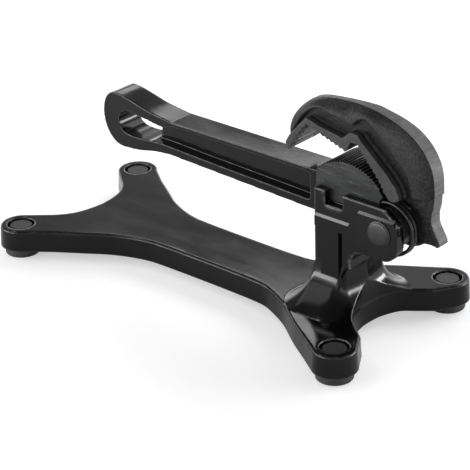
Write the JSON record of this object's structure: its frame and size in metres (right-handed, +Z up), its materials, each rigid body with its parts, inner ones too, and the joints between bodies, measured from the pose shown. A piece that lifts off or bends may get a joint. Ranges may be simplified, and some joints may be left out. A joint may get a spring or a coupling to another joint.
{
  "type": "pipe vise",
  "caption": "Bench pipe vise: sprung toothed hook jaw hinged in a forked post over a curved toothed heel jaw, long carrying handle, cast base on rubber feet.",
  "frame": {"origin": "under the middle of the whole part's bounding box, on the plane the rubber feet rest on", "axes": "+X from the handle's loop towards the jaws, +Y from the pin's head towards its far end, +Z up"},
  "size_m": [0.3566, 0.158, 0.168],
  "materials": {
    "black_enamel": "glossy black enamel on a casting",
    "jaw_black": "satin blackened casting with a fine grain",
    "jaw_steel": "matte grey steel with brighter tooth tips",
    "dark_steel": "dark oxide, satin",
    "bright_steel": "machined, lightly oiled",
    "spring_wire": "black drawn spring wire",
    "bronze": "plain bearing bronze",
    "plug_steel": "matte black",
    "rubber": "matte dark grey rubber"
  },
  "bodies": {
    "vise": {"base_casting": "black_enamel", "handle": "black_enamel", "heel_jaw": "jaw_steel", "heel_jaw_pin": "bright_steel", "pivot_pin": "dark_steel", "spring_sleeve_front": "bright_steel", "spring_sleeve_back": "bright_steel", "pin_washer": "bright_steel", "pin_retaining_ring": "dark_steel", "torsion_spring_front": "spring_wire", "torsion_spring_back": "spring_wire", "handle_bolt_1": "dark_steel", "handle_bolt_washer_1": "bright_steel", "handle_bolt_2": "dark_steel", "handle_bolt_washer_2": "bright_steel", "rubber_foot_left_front": "rubber", "foot_plug_left_front": "plug_steel", "rubber_foot_left_back": "rubber", "foot_plug_left_back": "plug_steel", "rubber_foot_right_front": "rubber", "foot_plug_right_front": "plug_steel", "rubber_foot_right_back": "rubber", "foot_plug_right_back": "plug_steel"},
    "hook": {"hook_jaw": "jaw_black", "pivot_bush": "bronze"}
  },
  "joints": [
    {"name": "hook_pivot", "type": "hinge", "parent": "vise", "child": "hook", "pos_m": [0.1438, 0, 0.091], "axis": [0, 1, 0], "range_deg": [0, 45], "stiffness_Nm_per_rad": 0.5, "springref_deg": -57.3, "deforming": ["torsion_spring_front", "torsion_spring_back"]}
  ]
}
